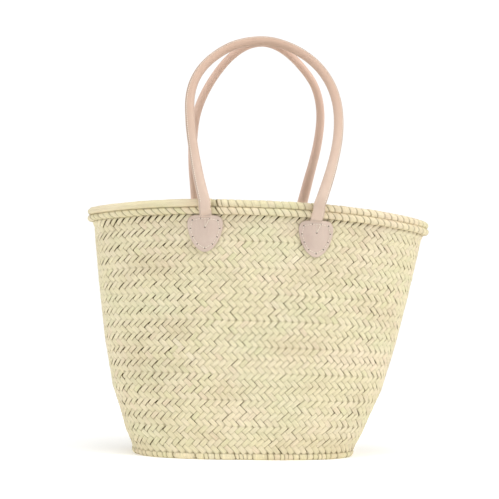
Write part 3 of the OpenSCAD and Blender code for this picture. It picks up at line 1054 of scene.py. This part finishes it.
def shield(w, h, steps):
    """A shield's outline as points [x, y], clockwise from the middle of its top edge, evenly spaced."""
    top = [[(w / 2) * (1 - SHOULDER) * u, 0] for u in np.linspace(0, 1, 12, endpoint=False)]
    a = np.radians(np.linspace(90, 0, 24))
    shoulder = np.stack([w / 2 * (1 - SHOULDER + SHOULDER * np.cos(a)), -h * WAIST * (1 - np.sin(a))], -1)
    a = np.radians(np.linspace(0, 90, 60))[1:]
    side = np.stack([w / 2 * np.cos(a) ** 1.1, -h * (WAIST + (1 - WAIST) * np.sin(a) ** 1.15)], -1)
    half = np.concatenate([top, shoulder, side])
    loop = np.concatenate([half, half[-2:0:-1] * [-1, 1]])
    closed = np.concatenate([loop, loop[:1]])
    run = run_along(closed)
    return along_at(once_round(steps, run[-1]), run, closed)


def on_wall(hand, side, u, v, out):
    """World points of local (u across, v up from the tab's middle) at a distance out of the wall's face."""
    x = leg_x(hand) - side * u
    z = tab_mid_z(hand) + v
    y = wall_y(x, z)
    slope = (wall_y(x + 1, z) - wall_y(x - 1, z)) / 2
    length = np.sqrt(1 + slope ** 2)
    return stacked(x - out * slope / length, side * (y + out / length), z)


def tab_rise(u, v, w, h):
    """How far the leather stands off the wall's face: lifted over the handle's flat end."""
    ridge = np.exp(-(u / 10.5) ** 4) * fade(v + h / 2, 8, 22)
    edge = 1 - fade(np.abs(u), 0, w / 2) ** 2
    return 0.35 + 2.5 * ridge + 0.5 * edge


def leather_pad(name, hand, side, w, h, thick, base, material, node, inner=False):
    """A shield of leather with rolled edges that follows the wall."""
    around, rings = 120, 14
    outline = shield(w, h, around) + [0, h / 2]
    centre = np.array([0, h * 0.08])
    back = -1 if inner else 1
    levels = []
    # under the pad, up its edge and over its face: (share of the way in, height in thicknesses)
    under = [(s, 0.0) for s in (0.985, 0.6, 0.25, 0.03)]
    edge = [(0.0, 0.10), (-0.012, 0.35), (-0.012, 0.65), (0.004, 0.88), (0.022, 0.98)]
    face = [(s, 1.0) for s in np.linspace(0.06, 0.985, rings)]
    for share_in, t in under + edge + face:
        p = outline + (centre - outline) * share_in
        stand = tab_rise(p[:, 0], p[:, 1], w, h) if not inner else 0.3 + 0 * p[:, 0]
        dome = 0.25 * math.sin(math.pi * min(share_in * 2.2, 0.5)) if t == 1.0 and share_in > 0 else 0
        out = base + back * (stand + thick * t + dome)
        levels.append(on_wall(hand, side, p[:, 0], p[:, 1], out))
    points = np.stack(levels)
    flip = (side > 0) != inner
    quads, ends = tube_faces(1, len(levels), around, flip=not flip)
    # painted shade on the pad's underside, and its rolled edge darker
    shade = np.ones((len(levels), around))
    shade[:4] = 0.5
    shade[4:7] = 0.78
    make_piece(name, (points, quads, ends, {"shade": shade}), material, [node])


def tab_surface(hand, side, p, lift):
    """World points lifted off a tab's face, from local ones."""
    out = tab_rise(p[:, 0], p[:, 1], TAB_W, TAB_H) + TAB_T + ON_FACE + lift
    return on_wall(hand, side, p[:, 0], p[:, 1], out)


def tab_stitching(hand, side, label):
    """Holes round the tab, thread between them, and the V of thread down to the middle hole."""
    line = shield(TAB_W - 8.5, TAB_H - 9.5, 400) + [0, TAB_H / 2 - HOLE_INSET]
    first = len(line) // (2 * TAB_HOLES)
    holes = line[(first + np.arange(TAB_HOLES) * len(line) / TAB_HOLES).astype(int) % len(line)]
    middle = np.array([[0.0, TAB_H / 2 - MIDDLE_HOLE]])
    dots = np.concatenate([holes, middle])
    starts, tips = [], []
    for k in range(TAB_HOLES):
        a, b = holes[k], holes[(k + 1) % TAB_HOLES]
        for i in range(TAB_BITS):
            starts.append(a + (b - a) * (i + 0.10) / TAB_BITS)
            tips.append(a + (b - a) * (i + 0.92) / TAB_BITS)
    for end in (np.array([0.0, TAB_H / 2 - 5.0]), holes[0]):
        starts.append(middle[0])
        tips.append(end)
    starts, tips = np.array(starts), np.array(tips)
    p, q = tab_surface(hand, side, starts, 0.12), tab_surface(hand, side, tips, 0.12)
    normal = np.zeros_like(p)
    normal[:, 1] = side
    stitches = capsules(p, q, 0.36, normal, 0.25)
    make_piece(f"tab_stitches_{label}", stitches, THREAD, [f"tab_thread_{label}"])
    # each hole is a shallow cup, painted near black as the shade inside it
    a = once_round(12)
    ring = np.stack([np.cos(a), np.sin(a)], -1)
    levels = []
    size = np.ones((len(dots), 1, 1))
    size[-1] = 1.3
    for r, lift in ((0.95, 0.02), (0.62, 0.10), (0.45, 0.02), (0.2, -0.25)):
        rim = dots[:, None] + r * size * ring[None]
        levels.append(tab_surface(hand, side, rim.reshape(-1, 2), lift).reshape(len(dots), 12, 3))
    points = np.stack(levels, 1)
    quads, ends = tube_faces(len(dots), 4, 12, flip=side > 0)
    make_piece(f"tab_holes_{label}", (points, quads, ends), HOLE_SHADE)


# ---- Build ----

for number in range(1, COURSES + 1):
    weave_course(number)
weave_shade_sheet()
joining_cord()
wrapped_roll("foot_wrap", "foot_whipping", ROLL_R, ROLL_R - 0.2, 4.7, 8.6, 21, -0.12, floor=0.05)
roll_bundle("foot_bundle", "foot_core", ROLL_R, ROLL_R - 0.2, 3.1)
wrapped_roll("rim_lower_wrap", "rim_lower_whipping", WALL_TOP + ROLL_R, -RIM_OUT, 4.9, 9.8, 22, -0.28,
             jitter=0.07, strand=(-0.40, 0.5))
roll_bundle("rim_lower_bundle", "rim_lower_core", WALL_TOP + ROLL_R, -RIM_OUT, 3.1)
wrapped_roll("rim_upper_wrap", "rim_upper_whipping", WALL_TOP + 3 * ROLL_R, -RIM_OUT, 4.9, 9.8, 23, -0.2,
             jitter=0.09, strand=(-0.2, 1.4), calm=0.8)
rim_strand()
roll_bundle("rim_upper_bundle", "rim_upper_core", WALL_TOP + 3 * ROLL_R, -RIM_OUT, 3.1)
base_weave()
base_shade_sheet()

for side, word, line, leather, slimmer in (
    (FRONT, "front", FRONT_LINE, LEATHER_FRONT, 0.45),
    (BACK, "back", BACK_LINE, LEATHER_BACK_SHADE_MATCHED, 1.1),
):
    body = f"{word}_handle"
    covered = [f"{word}_handle_cover", f"tongue_{word}_left", f"tongue_{word}_right"]
    cover = handle_cover(f"{word}_handle_leather", line, side, covered, leather, slimmer)
    handle_seam(f"{word}_handle_stitches", cover, body, f"{word}_handle_seam")
    handle_rope(f"{word}_handle_rope", line, side, body, f"{word}_handle_core")
    for hand, hand_word in ((LEFT, "left"), (RIGHT, "right")):
        label = f"{word}_{hand_word}"
        leather_pad(f"tab_leather_{label}", hand, side, TAB_W - 1.2, TAB_H, TAB_T, 0.0,
                    LEATHER_TAB, f"tab_{label}")
        leather_pad(f"patch_leather_{label}", hand, side, PATCH_W, PATCH_H, 2.0, -PLAIT_T - 0.5,
                    LEATHER_BACK_SHADE_MATCHED, f"patch_{label}", inner=True)
        tab_stitching(hand, side, label)

# ---- Studio ----

HORIZON = 1.04              # brightness of the world at eye level
SKY = 0.35                  # and far above it
FLOOR_R = 1.15              # the floor is a white table, and the white world goes on beyond it


def make_floor():
    mesh = bpy.data.meshes.new("floor")
    build = bmesh.new()
    bmesh.ops.create_circle(build, cap_ends=True, segments=96, radius=FLOOR_R)
    build.to_mesh(mesh)
    build.free()
    n = Nodes("floor_paper")
    n.set(colour=(0.93, 0.93, 0.92), roughness=0.9, gloss=0.1)
    n.shader.inputs["Emission Color"].default_value = (1, 1, 1, 1)
    n.shader.inputs["Emission Strength"].default_value = 0.25
    mesh.materials.append(n.material)
    add_object("floor", mesh)


def area_light(name, at, aim, size, power, colour=(1, 1, 1)):
    data = bpy.data.lights.new(name, "AREA")
    data.shape = "DISK"
    data.size = size
    data.energy = power
    data.color = colour
    lamp = add_object(name, data)
    lamp.location = at
    lamp.rotation_mode = "QUATERNION"
    lamp.rotation_quaternion = (Vector(aim) - Vector(at)).to_track_quat("-Z", "Y")


def make_light():
    """A white horizon, a dimmer sky and soft boxes: light comes mostly from above and the right."""
    world = bpy.data.worlds.new("studio")
    world.use_nodes = True
    tree = world.node_tree
    background = tree.nodes["Background"]
    background.inputs["Color"].default_value = (1, 1, 1, 1)
    place = tree.nodes.new("ShaderNodeTexCoord")
    split = tree.nodes.new("ShaderNodeSeparateXYZ")
    fade = tree.nodes.new("ShaderNodeMapRange")
    tree.links.new(place.outputs["Generated"], split.inputs[0])
    tree.links.new(split.outputs["Z"], fade.inputs["Value"])
    fade.inputs["From Min"].default_value = 0.25
    fade.inputs["From Max"].default_value = 0.5
    fade.inputs["To Min"].default_value = HORIZON
    fade.inputs["To Max"].default_value = SKY
    tree.links.new(fade.outputs[0], background.inputs["Strength"])
    bpy.context.scene.world = world
    area_light("key", (2.1, -1.1, 1.9), (0, 0, 0.2), 1.0, 36, (1.0, 0.985, 0.96))
    area_light("top", (-0.1, -0.5, 2.6), (0, 0, 0.2), 1.6, 30)
    area_light("fill", (-2.4, -0.9, 1.4), (0, 0, 0.25), 1.4, 17, (0.97, 0.98, 1.0))
    bpy.context.scene.view_settings.view_transform = "Standard"


make_floor()
make_light()
